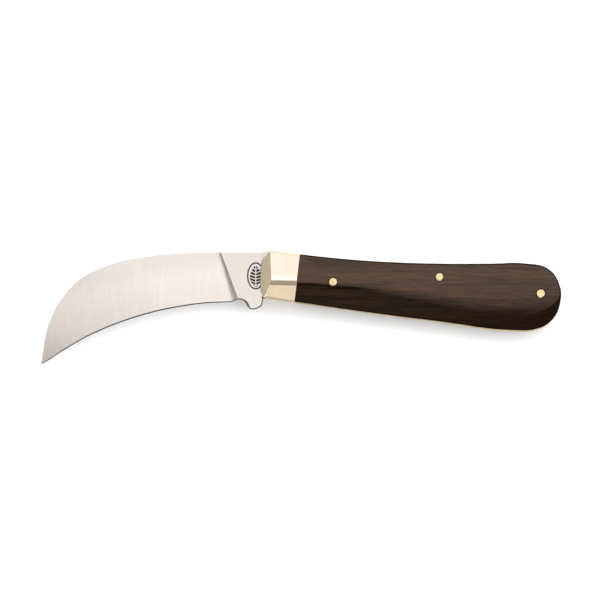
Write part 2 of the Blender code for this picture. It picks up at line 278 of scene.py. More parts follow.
def soft_min(first, second, width):
    """The lower of two surfaces, with their crossing rounded off over a width in height."""
    near = np.maximum(width - np.abs(first - second), 0) / width
    return np.minimum(first, second) - near ** 2 * width / 4


def distance_to(x, y, chain):
    """The distance of each grid point to a chain of points."""
    start = chain[:-1]
    along = np.diff(chain, axis=0)
    squared = np.maximum((along ** 2).sum(1), 1e-12)
    points = np.stack([x.ravel(), y.ravel()], 1)
    best = np.full(len(points), np.inf)
    for a, d, s in zip(start, along, squared):
        t = np.clip(((points - a) @ d) / s, 0, 1)
        gap = points - a - t[:, None] * d
        best = np.minimum(best, np.einsum("ij,ij->i", gap, gap))
    return np.sqrt(best).reshape(x.shape)


def smooth(share):
    """Eases a share from 0 to 1."""
    share = np.clip(share, 0, 1)
    return share * share * (3 - 2 * share)


def rim_drop(distance, width, depth=None):
    """How far a rounded rim falls below the surface, by the distance from the edge."""
    inside = np.clip((width - distance) / width, 0, 1)
    return (width if depth is None else depth) * (1 - np.sqrt(np.maximum(1 - inside ** 2, 0)))


def plane_height(x, y, first, second, low):
    """The height of the plane through three points."""
    a, b, c = (np.array(point, float) for point in (first, second, low))
    nx, ny, nz = np.cross(b - a, c - a)
    return a[2] - (nx * (x - a[0]) + ny * (y - a[1])) / nz


# Bolsters ---------------------------------------------------------------------------

# Three points on each facet's plane, in millimetres
RIDGE_BAND = ((-4.9, -1.05, FACE), (5.4, -1.3, FACE), (-4.9, -3.05, FACE - 0.42))
RIDGE = ((-4.9, -2.9, FACE - 0.38), (5.4, -3.15, FACE - 0.38), (-4.9, -7.9, FACE - 2.38))
FRONT_FACET = ((-5.3, 8.9, FACE), (-4.9, -1.5, FACE), (-8.8, -1.5, 3.7))
LOWER_BAND = ((-6.5, -6.9, 5.09), (4.2, -8.4, 4.7), (3.65, -9.6, 3.72))
UPPER_BAND = ((-5.3, 9.3, FACE), (5.66, 7.8, FACE), (5.66, 8.3, 6.4))


def chain_at(chain, share):
    """Points at the given shares of a chain's length."""
    steps = np.linalg.norm(np.diff(chain, axis=0), axis=1)
    reach = np.concatenate([[0], np.cumsum(steps)]) / steps.sum()
    return np.stack([np.interp(share, reach, chain[:, k]) for k in (0, 1)], -1)


def bolster_grid(across, along):
    """A grid over the bolster's outline, from its front arc back to the joint."""
    joint_top = np.array([JOINT_TOP.x, top_y(JOINT_TOP.x)])
    joint_bottom = np.array([JOINT_BOTTOM.x, bottom_y(JOINT_BOTTOM.x)])
    front = chain_at(FRONT_SIDE, across)
    back = joint_bottom + (joint_top - joint_bottom) * across[:, None]
    top_x = OUTLINE[0, 0] + (joint_top[0] - OUTLINE[0, 0]) * along
    low_x = BOTTOM_SIDE[0, 0] + (joint_bottom[0] - BOTTOM_SIDE[0, 0]) * along
    top = np.stack([top_x, top_y(top_x)], 1)
    low = np.stack([low_x, bottom_y(low_x)], 1)
    u = along[:, None, None]
    v = across[None, :, None]
    sides = (1 - u) * front[None] + u * back[None] + (1 - v) * low[:, None] + v * top[:, None]
    front_ends = (1 - v) * front[0] + v * front[-1]
    back_ends = (1 - v) * back[0] + v * back[-1]
    grid = sides - (1 - u) * front_ends - u * back_ends
    return grid[..., 0], grid[..., 1]


def make_bolster(name):
    shares = np.linspace(0, 1, 120)
    x, y = bolster_grid(shares, shares)
    z = np.full(x.shape, FACE)
    for facet, rounding in (
        (RIDGE_BAND, 0.16), (RIDGE, 0.03), (FRONT_FACET, 0.16), (LOWER_BAND, 0.12),
        (UPPER_BAND, 0.1),
    ):
        z = soft_min(z, plane_height(x, y, *facet), rounding)
    rim = np.vstack([OUTLINE[BOTTOM_CORNER - 2 * STEPS:], OUTLINE[:2 * STEPS]])
    z -= rim_drop(distance_to(x, y, rim), 0.22)
    joint = np.array([JOINT_BOTTOM - Vector((0.2, 1.8)), JOINT_TOP + Vector((0.2, 1.8))])
    z -= rim_drop(distance_to(x, y, joint), 0.16) * 0.5
    bm = bmesh.new()
    cushion(bm, x, y, z, LINER_OUTER)
    return new_piece(name, bm)


# Wooden scales ----------------------------------------------------------------------

# The line where the wood's lower facet starts
WOOD_RIDGE = [
    (0.0, -1.9), (6.0, -2.0), (17.4, -2.3), (29.0, -3.5), (42.0, -5.4), (59.0, -7.8),
    (72.0, -8.7), (86.0, -8.2), (101.0, -7.8),
]
# At the bolster and at the butt: how steeply it falls, and how softly it starts
WOOD_FALL, BUTT_FALL = 0.36, 0.3
WOOD_ROUNDING, BUTT_ROUNDING = 0.25, 1.7
# All round and at the butt's lower side: how far in the rim is rounded, and how deep
RIM_WIDTH, BUTT_WIDTH = 0.6, 7.0
RIM_DEPTH, BUTT_DEPTH = 0.5, 3.4


def make_scale(name):
    across = (1 - np.cos(np.linspace(0, math.pi, 72))) / 2
    across = 0.5 * across + 0.5 * np.linspace(0, 1, 72)
    along = 1 - np.linspace(1, 0.004, 260) ** 1.7
    u, v = np.meshgrid(along, across, indexing="ij")
    joint_x = JOINT_BOTTOM.x + (JOINT_TOP.x - JOINT_BOTTOM.x) * v + 0.03
    apex_x = OUTLINE[APEX, 0]
    x = joint_x + (apex_x - joint_x) * u
    lip = LIP * np.clip((apex_x - 1 - x) / 8, 0, 1)
    low = bottom_y(x) + lip
    y = low + (top_y(x) - low) * v
    butt_share = np.clip((x - 10) / 80, 0, 1)
    ridge = through_knots(WOOD_RIDGE, 300)
    below = np.interp(x, ridge[:, 0], ridge[:, 1]) - y
    fall = WOOD_FALL + (BUTT_FALL - WOOD_FALL) * butt_share
    rounding = WOOD_ROUNDING + (BUTT_ROUNDING - WOOD_ROUNDING) * butt_share
    z = soft_min(np.full(x.shape, WOOD_FACE), WOOD_FACE - fall * below, rounding)
    low_chain = BOTTOM_SIDE + [0, 1] * (LIP * np.clip((apex_x - 1 - BOTTOM_SIDE[:, :1]) / 8, 0, 1))
    rim = np.vstack([TOP_SIDE[STEPS // 2:], low_chain[::-1][:-2 * STEPS]])
    low_butt = smooth((x - 70) / 26) * smooth((-6 - y) / 10)
    width = RIM_WIDTH + (BUTT_WIDTH - RIM_WIDTH) * low_butt
    depth = RIM_DEPTH + (BUTT_DEPTH - RIM_DEPTH) * low_butt
    z -= rim_drop(distance_to(x, y, rim), width, np.minimum(depth, z - LINER_OUTER - 0.3))
    bm = bmesh.new()
    cushion(bm, x, y, z, LINER_OUTER)
    bmesh.ops.remove_doubles(bm, verts=bm.verts, dist=0.002)
    piece = new_piece(name, bm)
    for place, radius in HEADS.items():
        bore(piece, place, radius + HEAD_GAP)
    settle(piece)
    return piece


def bore(piece, place, radius):
    """Drills a round hole through a piece, parallel to the pivot."""
    bm = bmesh.new()
    slab(bm, circle(place, radius), -9.0, 9.0, 0.01)
    cutter = new_piece(piece.name + "_bore", bm)
    cut = piece.modifiers.new("bore", "BOOLEAN")
    cut.operation = "DIFFERENCE"
    cut.solver = "EXACT"
    cut.object = cutter


def sharpen_line(piece, start, end):
    """Keeps the shading apart on the two sides of a line across a piece."""
    along = (end - start).normalized()
    near = {
        vertex.index for vertex in piece.data.vertices
        if abs(along.cross(vertex.co.xy - start)) < 1e-6
    }
    for edge in piece.data.edges:
        if near.issuperset(edge.vertices):
            edge.use_edge_sharp = True


def settle(piece):
    """Applies the modifiers and removes their cutters."""
    bpy.context.view_layer.update()
    graph = bpy.context.evaluated_depsgraph_get()
    mesh = bpy.data.meshes.new_from_object(piece.evaluated_get(graph))
    cutters = [step.object for step in piece.modifiers if step.type == "BOOLEAN"]
    piece.modifiers.clear()
    piece.data = mesh
    for cutter in cutters:
        bpy.data.objects.remove(cutter)


# Liners and spring ------------------------------------------------------------------


def make_liner(name):
    bm = bmesh.new()
    holes = [circle((0, 0), LINER_HOLE)]
    slab(bm, OUTLINE, LINER_INNER, LINER_OUTER, 0.06, holes)
    return new_piece(name, bm)


def make_spring(name):
    """The back spring in one piece, flush with the handle's back from nose to butt."""
    nose = -2.95
    end_down_the_butt = -14.0
    back = OUTLINE[:BOTTOM_CORNER]
    past_end = (back[:, 0] > 90) & (back[:, 1] < end_down_the_butt)
    back = back[:int(np.argmax(past_end))]
    back = back[back[:, 0] > nose + 0.2]
    start = [[nose, top_y(nose)]]
    under = sampled([
        (97.6, -12.9, CORNER), (93.5, -10.4, SMOOTH), (88.4, -6.8, SMOOTH), (80.0, -1.6, SMOOTH),
        (70.0, -1.2, SMOOTH), (60.0, -3.4, SMOOTH), (52.0, -3.6, SMOOTH), (46.0, -2.6, SMOOTH),
        (40.0, -0.7, SMOOTH), (30.0, 2.6, SMOOTH), (20.0, 4.6, SMOOTH), (13.5, 5.4, SMOOTH),
        (9.0, 5.3, SMOOTH), (nose, 5.3, CORNER),
    ], 10, closed=False)
    bm = bmesh.new()
    slab(bm, np.vstack([start, back, under]), -BLADE_HALF - 0.05, BLADE_HALF + 0.05, 0.06)
    return new_piece(name, bm)


# Blade ------------------------------------------------------------------------------

SEAT = 5.0  # from the pivot to the tang's flats
CAM_RADIUS = 5.25
CLOSING_ANGLE = math.radians(JOINTS["blade_pivot"]["range_deg"][1])
SHOULDER_X = -3.1
CHAMFER = 0.12
KICK_BEVEL = 0.42
KICK_FRONT = (-13.9, -10.2)  # the bevel is widest at this spot on the kick's front side
KICK_FRONT_REACH = 1.6  # and swells within this far of it
KICK_BEVEL_SWELL = 0.4
EDGE_BEVEL = 0.3  # the sharpened bevel, at the plunge and the point
EDGE_BEVEL_SWELL = 0.16  # how much wider it is halfway
EDGE_HALF = 0.03  # half the thickness at the sharpened edge
GROUND_HALF = 0.27  # and where the ground face meets the bevel
SPINE_TAPER = 0.045  # what each millimetre of the blade's width adds to it at the spine
BELLY = 0.005  # and halfway up the face
FACE_STEPS = 26  # points across the ground face
STATIONS = 110  # sections from the plunge to the point


def tang_chain():
    """From the plunge's top, round the shoulder, cam and kick, to the plunge's foot."""
    half_flat = math.sqrt(CAM_RADIUS ** 2 - SEAT ** 2)
    first = math.atan2(SEAT, half_flat)
    last = math.pi - first - CLOSING_ANGLE
    cam = [
        (CAM_RADIUS * math.cos(a), CAM_RADIUS * math.sin(a)) for a in np.linspace(first, last, 40)
    ]
    seat = Matrix.Rotation(-CLOSING_ANGLE, 2) @ Vector((8.0, SEAT))
    back = [tuple(PLUNGE_TOP), (-16.0, 9.0), (-8.2, 9.0), (SHOULDER_X, 9.3), (SHOULDER_X, SEAT)]
    kick = sampled([
        (-7.7, -7.9, CORNER), (-8.5, -10.6, SMOOTH), (-9.3, -11.2, SMOOTH),
        (-11.3, -11.85, SMOOTH), (-12.7, -11.6, SMOOTH), (-14.8, -8.8, SMOOTH),
        (-15.8, -8.25, SMOOTH), (PLUNGE_BOTTOM.x, PLUNGE_BOTTOM.y, CORNER),
    ], 8, closed=False)
    return np.vstack([back, cam, [seat[:]], kick])


def tang_bevels(chain):
    """The width of the bevel at each point of the tang, widest on the kick's front side."""
    widths = np.full(len(chain), CHAMFER)
    kick = (chain[:, 1] < -7.9) & (chain[:, 0] < -7.0)
    away = np.linalg.norm(chain[kick] - KICK_FRONT, axis=1)
    widths[kick] = KICK_BEVEL + KICK_BEVEL_SWELL * np.exp(-(away / KICK_FRONT_REACH) ** 4)
    return widths


def blade_sections():
    """Rows of (x, y, half thickness) from the edge up to the spine, from plunge to tip."""
    cove = np.linspace(0, 1, 13)[:-1]
    spine = through_knots(SPINE, STATIONS)
    edge = through_knots(EDGE, STATIONS)
    lower = np.vstack([
        np.array(PLUNGE_BOTTOM) + (edge[0] - np.array(PLUNGE_BOTTOM)) * cove[:, None], edge,
    ])
    upper = np.vstack([
        np.array(PLUNGE_TOP) + (spine[0] - np.array(PLUNGE_TOP)) * cove[:, None], spine,
    ])
    swept = np.concatenate([cove, np.ones(STATIONS)])
    swept = 1 - (1 - swept) ** 2
    widths = EDGE_BEVEL + EDGE_BEVEL_SWELL * np.sin(np.linspace(0, math.pi, len(swept)))
    rows = []
    for low, high, depth, width in zip(lower, upper, swept, widths):
        span = np.linalg.norm(high - low)
        bevel = min(width / span, 0.35)
        chamfer = min(CHAMFER / span, 0.1)
        places = np.concatenate([[0], np.linspace(bevel, 1 - chamfer, FACE_STEPS), [1]])
        spine_half = GROUND_HALF + SPINE_TAPER * span
        rise = (places - bevel) / (1 - chamfer - bevel)
        belly = BELLY * span * np.sin(math.pi * np.clip(rise, 0, 1))
        ground = GROUND_HALF + (spine_half - GROUND_HALF) * rise + belly
        ground[0] = EDGE_HALF
        ground[-1] = spine_half - chamfer * span
        plate = np.full(len(places), BLADE_HALF)
        plate[0] = plate[-1] = BLADE_HALF - CHAMFER
        half = plate + (ground - plate) * depth
        points = low + (high - low) * places[:, None]
        rows.append(np.column_stack([points, half]))
    return rows


def make_blade(name):
    bm = bmesh.new()
    rows = blade_sections()
    upper = [[bm.verts.new(point) for point in row] for row in rows]
    lower = [[bm.verts.new((px, py, -h)) for px, py, h in row] for row in rows]
    for grid in (upper, lower):
        for first, second in zip(grid, grid[1:]):
            strip(bm, first, second, closed=False)
    for end in (0, -1):
        strip(bm, [row[end] for row in upper], [row[end] for row in lower], closed=False)
    bm.faces.new(upper[-1] + lower[-1][::-1])

    chain = tang_chain()
    widths = tang_bevels(chain)
    inner = drawn_in(np.vstack([chain, rows[0][1:-1, :2]]), np.append(widths, [0] * FACE_STEPS))
    tang = {}
    for side, grid in ((1, upper), (-1, lower)):
        first_row = grid[0]
        outer = [first_row[-1]]
        outer += [
            bm.verts.new((px, py, side * (BLADE_HALF - width)))
            for (px, py), width in zip(chain[1:-1], widths[1:-1])
        ]
        outer += [first_row[0]]
        inside = [first_row[-2]]
        inside += [bm.verts.new((px, py, side * BLADE_HALF)) for px, py in inner[1:len(chain) - 1]]
        inside += [first_row[1]]
        strip(bm, outer, inside, closed=False)
        hole = ring(bm, circle((0, 0), BLADE_HOLE), side * BLADE_HALF)
        fill(bm, inside + first_row[2:-2], hole)
        tang[side] = (outer, hole)
    strip(bm, tang[1][0], tang[-1][0], closed=False)
    strip(bm, tang[1][1], tang[-1][1])
    piece = new_piece(name, bm, sharp=24)
    sharpen_line(piece, PLUNGE_TOP * MM, PLUNGE_BOTTOM * MM)
    return piece


# A plain leaf etched on the ricasso, as a generic mark ------------------------------

MARK_CENTER = np.array([-10.5, 0.4])
MARK_LOW = BLADE_HALF - 0.01
MARK_HIGH = BLADE_HALF + 0.015


def oval(half_width, half_height, count=72):
    return circle((0, 0), 1.0, count) * [half_width, half_height] + MARK_CENTER


def oval_line(bm, half_width, half_height, width):
    """A raised line around an oval."""
    outer = oval(half_width, half_height)
    inner = oval(half_width - width, half_height - width)
    rows = [ring(bm, loop, height) for loop, height in (
        (outer, MARK_LOW), (outer, MARK_HIGH), (inner, MARK_HIGH), (inner, MARK_LOW),
    )]
    for first, second in zip(rows, rows[1:] + rows[:1]):
        strip(bm, first, second)


def make_mark(name):
    """A leaf with seven pairs of lobes, in an oval."""
    bm = bmesh.new()
    oval_line(bm, 3.18, 4.98, 0.52)
    lobes = 7
    half_width, half_height = 2.15, 4.0
    for side in (-1, 1):
        for i in range(lobes):
            shares = np.linspace((i + 0.13) / lobes, (i + 0.87) / lobes, 7)
            reach = half_width * np.sin(math.pi * shares ** 0.85) ** 0.8
            outer = np.stack([side * reach, shares], 1)
            inner = np.array([[side * 0.16, shares[-1] - 0.08], [side * 0.16, shares[0] - 0.08]])
            lobe = np.vstack([outer, inner])
            lobe[:, 1] = (lobe[:, 1] * 2 - 1) * half_height
            slab(bm, lobe + MARK_CENTER, MARK_LOW, MARK_HIGH, 0.004)
    return new_piece(name, bm)


# Pins -------------------------------------------------------------------------------


def turned(name, profile, place, waver=()):
    """A round piece from a profile of (radius, height), from axis to axis.

    Each waver is (share of the radius, lobes, turn in degrees), for a head that isn't quite round.
    """
    count = 64
    angles = np.linspace(0, 2 * math.pi, count, endpoint=False)
    out = np.ones(count)
    for amount, lobes, turn in waver:
        out += amount * np.cos(lobes * (angles - math.radians(turn)))
    bm = bmesh.new()
    rows = []
    for radius, height in profile[1:-1]:
        points = np.stack([np.cos(angles), np.sin(angles)], 1) * (radius * out)[:, None]
        rows.append(ring(bm, points + place, height))
    for first, second in zip(rows, rows[1:]):
        strip(bm, first, second)
    for row, (_, height) in ((rows[0], profile[0]), (rows[-1], profile[-1])):
        center = bm.verts.new((place[0], place[1], height))
        for i, vert in enumerate(row):
            bm.faces.new((vert, row[(i + 1) % count], center))
    return new_piece(name, bm, sharp=50)


def head(radius, rim, rise, boss=0.0):
    """A peened head: a low dome, a softly rounded rim, and perhaps a small boss at its centre."""
    shares = np.linspace(0, 1, 12)
    heights = rim + rise * (1 - shares ** 2.4) + boss * np.exp(-(shares / 0.3) ** 2)
    sides = [(radius, rim - 0.06), (radius, rim - 0.3)]
    return [(radius * 0.97 * share, height) for share, height in zip(shares, heights)] + sides


def both_ends(near):
    """A profile with its near end repeated at the far end."""
    return near + [(radius, -height) for radius, height in near][::-1]


def make_pins():
    center = turned(
        "spring_center_pin_peened", both_ends(head(HEADS[CENTER_PIN], WOOD_FACE, 0.1)), CENTER_PIN,
        waver=((0.015, 3, 40),),
    )
    end = turned(
        "spring_end_pin_peened", both_ends(head(HEADS[END_PIN], WOOD_FACE, 0.08)), END_PIN,
        waver=((0.06, 1, 190), (0.03, 3, -100), (0.03, 4, -100), (0.02, 5, -100)),
    )
    radius = HEADS[SCALE_PIN]
    short = head(radius, WOOD_FACE, 0.06, 0.08) + [(radius, 2.0), (0.0, 2.0)]
    front = turned("scale_pin_mark_side_peened", short, SCALE_PIN, waver=((0.035, 2, 0),))
    far = other_side(front, "scale_pin_pile_side_peened")
    near = [(0, PIVOT_END), (PIVOT_RADIUS - 0.1, PIVOT_END), (PIVOT_RADIUS, PIVOT_END - 0.1)]
    pivot = turned("pivot_pin_turned", both_ends(near), (0.0, 0.0))
    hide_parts("spring_center_pin")
    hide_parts("spring_end_pin")
    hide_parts("scale_pin_mark_side")
    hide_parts("scale_pin_pile_side")
    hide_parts("pivot_pin")
    return [center, end, front, far, pivot]


# Materials --------------------------------------------------------------------------

WHITE = (1.0, 1.0, 1.0)


class Recipe:
    """A Principled material with a few node helpers."""

    def __init__(self, name, color, roughness, metallic, **sockets):
        self.material = bpy.data.materials.new(name)
        self.material.use_nodes = True
        self.tree = self.material.node_tree
        self.shader = self.tree.nodes["Principled BSDF"]
        self.shader.inputs["Base Color"].default_value = (*color, 1.0)
        self.shader.inputs["Roughness"].default_value = roughness
        self.shader.inputs["Metallic"].default_value = metallic
        for socket, value in sockets.items():
            self.shader.inputs[socket.replace("_", " ")].default_value = value
        self.place = self.node("ShaderNodeTexCoord").outputs["Object"]

    def node(self, kind, **settings):
        made = self.tree.nodes.new(kind)
        for key, value in settings.items():
            setattr(made, key, value)
        return made

    def link(self, source, target):
        self.tree.links.new(source, target)

    def noise(self, scale, detail=3.0, rough=0.5, distortion=0.0, shift=(0, 0, 0)):
        """Noise whose features are 1/scale metres long on each axis."""
        mapping = self.node("ShaderNodeMapping")
        mapping.inputs["Scale"].default_value = scale
        mapping.inputs["Location"].default_value = shift
        self.link(self.place, mapping.inputs["Vector"])
        noise = self.node("ShaderNodeTexNoise")
        noise.inputs["Scale"].default_value = 1.0
        noise.inputs["Detail"].default_value = detail
        noise.inputs["Roughness"].default_value = rough
        noise.inputs["Distortion"].default_value = distortion
        self.link(mapping.outputs["Vector"], noise.inputs["Vector"])
        return noise.outputs["Fac"]

    def ramp(self, source, stops):
        """Colours or grey levels at stops along a value from 0 to 1."""
        ramp = self.node("ShaderNodeValToRGB")
        elements = ramp.color_ramp.elements
        while len(elements) < len(stops):
            elements.new(0.5)
        for element, (position, color) in zip(elements, stops):
            element.position = position
            shade = color if isinstance(color, tuple) else (color, color, color)
            element.color = (*shade, 1.0)
        self.link(source, ramp.inputs["Fac"])
        return ramp.outputs["Color"]

    def mix(self, share, first, second, blend="MIX"):
        """Blends from the first colour to the second by a share."""
        mix = self.node("ShaderNodeMix", data_type="RGBA", blend_type=blend)
        sockets = (mix.inputs[0], mix.inputs[6], mix.inputs[7])
        for value, socket in zip((share, first, second), sockets):
            if isinstance(value, (int, float)):
                socket.default_value = value
            elif isinstance(value, tuple):
                socket.default_value = (*value, 1.0)
            else:
                self.link(value, socket)
        return mix.outputs[2]

    def times(self, first, second):
        return self.mix(1.0, first, second, "MULTIPLY")

    def span(self, source, low, high, to_low, to_high):
        """Maps a value from one range to another, held at its ends."""
        node = self.node("ShaderNodeMapRange", clamp=True)
        for socket, value in zip(list(node.inputs)[1:5], (low, high, to_low, to_high)):
            socket.default_value = value
        self.link(source, node.inputs[0])
        return node.outputs[0]

    def math(self, operation, *values):
        node = self.node("ShaderNodeMath", operation=operation)
        for socket, value in zip(node.inputs, values):
            if isinstance(value, (int, float)):
                socket.default_value = value
            else:
                self.link(value, socket)
        return node.outputs[0]

    def along(self, direction):
        """The place in metres along a direction."""
        node = self.node("ShaderNodeVectorMath", operation="DOT_PRODUCT")
        node.inputs[1].default_value = direction
        self.link(self.place, node.inputs[0])
        return node.outputs["Value"]

    def distance(self, spot):
        """The distance in metres from a line through the thickness, at a spot in millimetres."""
        flat = self.node("ShaderNodeVectorMath", operation="MULTIPLY")
        flat.inputs[1].default_value = (1.0, 1.0, 0.0)
        self.link(self.place, flat.inputs[0])
        apart = self.node("ShaderNodeVectorMath", operation="DISTANCE")
        apart.inputs[1].default_value = (spot[0] * MM, spot[1] * MM, 0.0)
        self.link(flat.outputs[0], apart.inputs[0])
        return apart.outputs["Value"]

    def painted_shade_spot(self, spot, near, far, least):
        """A spot of painted shade: the least value inside the near radius, and 1 beyond the far
        one.
        """
        return self.span(self.distance(spot), near * MM, far * MM, least, 1.0)

    def facing(self, axis):
        """One component of the surface's own direction."""
        split = self.node("ShaderNodeSeparateXYZ")
        self.link(self.tree.nodes["Texture Coordinate"].outputs["Normal"], split.inputs[0])
        return split.outputs[axis]

    def flatness(self):
        """1 where the surface faces straight out of the knife's side, 0 on its walls."""
        return self.math("ABSOLUTE", self.facing("Z"))

    def bump(self, height, strength, distance):
        bump = self.node("ShaderNodeBump")
        bump.inputs["Strength"].default_value = strength
        bump.inputs["Distance"].default_value = distance
        self.link(height, bump.inputs["Height"])
        self.link(bump.outputs["Normal"], self.shader.inputs["Normal"])

    def color(self, source):
        self.link(source, self.shader.inputs["Base Color"])

    def roughness(self, source):
        self.link(source, self.shader.inputs["Roughness"])


def steel_for_blade():
    """Satin steel: belt streaks across the ground face, round polishing marks on the ricasso."""
    m = Recipe("blade_steel", (0.62, 0.585, 0.555), 0.3, 1.0)
    fine = m.noise((4200, 90, 90), detail=4, rough=0.6)
    broad = m.noise((420, 40, 40), detail=2)
    rings = m.node("ShaderNodeTexNoise", noise_dimensions="1D")
    rings.inputs["Scale"].default_value = 3600.0
    rings.inputs["Detail"].default_value = 2.0
    m.link(m.distance((0.0, 0.0)), rings.inputs["W"])
    slope = (PLUNGE_BOTTOM.x - PLUNGE_TOP.x) / (PLUNGE_TOP.y - PLUNGE_BOTTOM.y)
    line = (PLUNGE_TOP.x + slope * PLUNGE_TOP.y) * MM
    past_line = m.math("SUBTRACT", m.along((1.0, slope, 0.0)), line)
    ricasso = m.span(past_line, -0.0002, 0.0002, 0.0, 1.0)
    marks = m.span(rings.outputs["Fac"], 0.0, 1.0, 0.3, 0.7)
    texture = m.mix(ricasso, fine, marks)
    tone = m.ramp(texture, [(0.25, (0.737, 0.687, 0.645)), (0.75, (0.759, 0.71, 0.667))])
    tone = m.mix(m.span(broad, 0.35, 0.7, 0.0, 0.25), tone, (0.795, 0.747, 0.704))
    # painted shade: the ground face is darkened towards the point, and along the back
    point_shade = m.ramp(m.span(m.along((-0.55, -0.83, 0.0)), 0.027, 0.07, 0.0, 1.0), [
        (0.0, 1.0), (0.23, 0.92), (0.6, (0.83, 0.825, 0.815)), (0.8, (0.76, 0.752, 0.74)),
        (1.0, (0.63, 0.62, 0.605)),
    ])
    back_shade = m.span(m.along((-0.19, 1.0, 0.0)), 0.0072, 0.0125, 1.0, 0.92)
    tone = m.times(tone, point_shade)
    tone = m.mix(m.math("SUBTRACT", 1.0, ricasso), tone, back_shade, "MULTIPLY")
    tone = m.times(tone, m.span(ricasso, 0.0, 1.0, 1.0, 0.905))
    # painted shade in the plunge's cove, darkest towards the spine
    wide = m.span(m.along((0.0, 1.0, 0.0)), -0.0081, 0.009, 0.0033, 0.002)
    plunge = m.ramp(m.span(m.math("DIVIDE", past_line, wide), -1.0, 0.0, 0.0, 1.0), [
        (0.0, 1.0), (0.35, 0.92), (0.72, 0.6), (0.97, 0.6), (1.0, 1.0),
    ])
    deep = m.span(m.along((0.0, 1.0, 0.0)), -0.008, 0.008, 0.5, 1.0)
    tone = m.times(tone, m.mix(deep, WHITE, plunge))
    # painted shade in the corner where the tang meets the bolsters
    tone = m.times(tone, m.painted_shade_spot((-7.85, -7.45), 0.25, 0.65, 0.1))
    # painted shade: the bevels are darkened by the way they face, all but the one along the spine
    to_spine = m.facing("Y")
    steep = m.span(m.flatness(), 0.72, 0.8, 0.24, 1.0)
    bevels = m.math("MINIMUM", m.span(to_spine, -0.45, -0.3, 0.15, 1.0), steep)
    bevels = m.math("MAXIMUM", bevels, m.span(to_spine, 0.0, 0.25, 0.0, 1.0))
    tone = m.times(tone, m.mix(bevels, (0.96, 0.82, 0.7), WHITE))
    m.color(m.times(tone, bevels))
    m.roughness(m.span(texture, 0.3, 0.7, 0.25, 0.31))
    m.bump(texture, 0.03, 0.00002)
    return m.material


def steel_for_spring():
    """Ground spring steel with marks along its length."""
    m = Recipe("spring_steel", (0.5, 0.475, 0.45), 0.32, 1.0)
    marks = m.noise((160, 5200, 5200), detail=3)
    m.color(m.ramp(marks, [(0.3, (0.44, 0.415, 0.39)), (0.7, (0.55, 0.52, 0.49))]))
    m.roughness(m.span(marks, 0.3, 0.7, 0.26, 0.4))
    m.bump(marks, 0.15, 0.00002)
    return m.material


def brass(name, bright, dull, rough, scratch_scale):
    """Hand-polished brass: fine scratches one way, and a faint cloudy tarnish."""
    m = Recipe(name, bright, rough, 1.0)
    scratches = m.noise(scratch_scale, detail=4, rough=0.65)
    cloud = m.noise((220, 220, 220), detail=3)
    m.tone = m.mix(m.span(cloud, 0.4, 0.72, 0.0, 0.6), bright, dull)
    m.color(m.tone)
    low = m.span(scratches, 0.3, 0.7, rough * 0.75, rough * 1.35)
    m.roughness(m.math("ADD", low, m.span(cloud, 0.4, 0.7, 0.0, rough * 0.4)))
    m.bump(scratches, 0.06, 0.00002)
    return m


def brass_for_bolster():
    """Brass, paler and whiter on the flat as a painted highlight, with a painted highlight line
    above the ridge.
    """
    m = brass("bolster_brass", (0.95, 0.79, 0.56), (0.89, 0.715, 0.49), 0.16, (3600, 120, 900))
    streaks = m.noise((1300, 45, 300), detail=3)
    # the flat faces take a paler, whiter colour that stands in for a blown highlight: a painted
    # highlight
    pale = m.mix(m.span(streaks, 0.4, 0.62, 0.0, 1.0), (0.8, 0.72, 0.605), (0.815, 0.765, 0.665))
    to_joint = m.ramp(m.span(m.along((1.0, -0.11, 0.0)), -0.004, 0.0052, 0.0, 1.0), [
        (0.0, 0.0), (0.6, 0.75), (0.86, 1.0), (0.93, 0.0),
    ])
    pale = m.mix(to_joint, pale, (0.8, 0.695, 0.56))
    # a painted highlight in a band just above the ridge
    painted_highlight = m.ramp(m.span(m.along((0.024, 1.0, 0.0)), -0.0014, 0.001, 0.0, 1.0), [
        (0.0, 0.0), (0.2, 0.9), (0.42, 0.9), (0.75, 0.2), (1.0, 0.0),
    ])
    pale = m.mix(painted_highlight, pale, (0.87, 0.82, 0.75))
    # painted shade: the band between the flat and the lower facets is darkened by the way it faces
    flat = m.flatness()
    ridge = m.ramp(m.span(flat, 0.9, 1.0, 0.0, 1.0), [
        (0.0, 1.0), (0.5, 1.0), (0.7, 0.67), (0.88, 0.7), (0.97, 1.0),
    ])
    tone = m.times(m.tone, ridge)
    # painted shade: the rounded rims at the front, the bottom and the top are darkened by the way
    # they face
    to_spine = m.facing("Y")
    tone = m.times(tone, m.span(m.facing("X"), -0.85, -0.68, 0.45, 1.0))
    tone = m.times(tone, m.span(to_spine, -0.85, -0.68, 0.38, 1.0))
    tone = m.times(tone, m.span(to_spine, 0.3, 0.6, 1.0, 0.8))
    # painted shade in the corner where the bolster meets the tang
    tone = m.times(tone, m.painted_shade_spot((-7.55, -7.85), 0.2, 0.55, 0.15))
    m.color(m.mix(m.span(flat, 0.984, 0.999, 0.0, 1.0), tone, pale))
    return m


